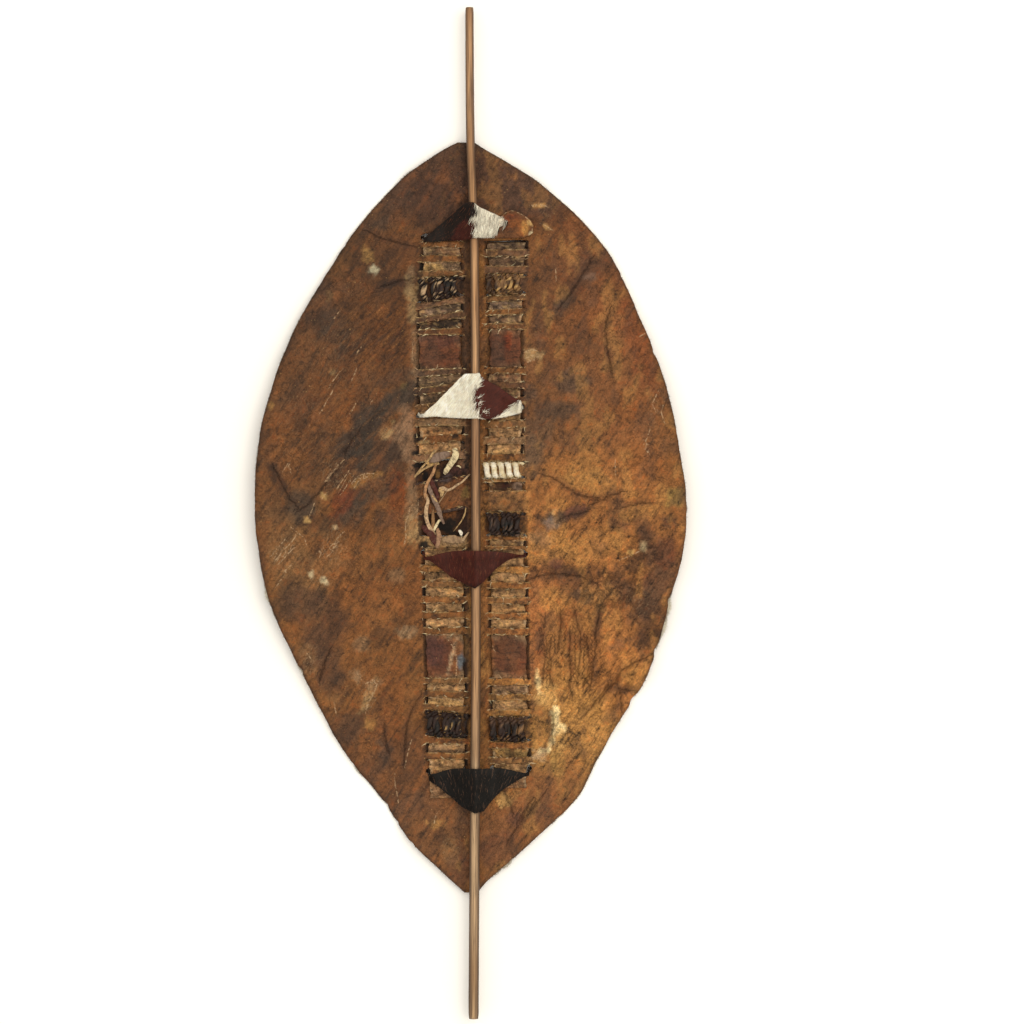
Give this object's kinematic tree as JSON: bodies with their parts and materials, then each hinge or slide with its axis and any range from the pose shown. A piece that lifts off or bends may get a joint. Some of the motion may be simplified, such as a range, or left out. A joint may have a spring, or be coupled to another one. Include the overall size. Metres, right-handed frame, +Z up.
{
  "type": "hide shield",
  "caption": "Pointed oval rawhide shield laced down its middle, with a wooden stick held along its back by hair-on hide straps.",
  "frame": {"origin": "centre of the base of the whole object's box, on the surface that it lies on", "axes": "+Y along the stick towards its upper, thinner end; +X to the right as seen from the laced back; +Z up out of the laced back"},
  "size_m": [0.5174, 1.212, 0.0238],
  "materials": {
    "rawhide": "stained, scuffed rawhide, dull to satin",
    "stick_wood": "dry worn wood, satin",
    "strip_skin": "dusty dry skin, matt",
    "thong_dark": "dark twisted hide thong with hair, satin",
    "thong_white": "cream hide thong, matt",
    "hair_brown_white": "short cow hair, dark brown and white",
    "hair_white_brown": "short cow hair, cream and red-brown",
    "hair_red_brown": "short cow hair, dark red-brown",
    "hair_black": "short cow hair, black"
  },
  "bodies": {
    "root": {"shield_hide": "rawhide", "stick": "stick_wood", "strap_top": "hair_brown_white", "strap_upper": "hair_white_brown", "strap_lower": "hair_red_brown", "strap_bottom": "hair_black", "strip_left_upper": "strip_skin", "strip_left_lower": "strip_skin", "strip_right": "strip_skin", "wrap_left_top": "thong_dark", "wrap_left_bottom": "thong_dark", "wrap_right_top": "thong_dark", "wrap_right_white": "thong_white", "wrap_right_middle": "thong_dark", "wrap_right_bottom": "thong_dark", "thong_torn": "thong_dark", "thong_white_stub": "thong_white"}
  },
  "joints": []
}
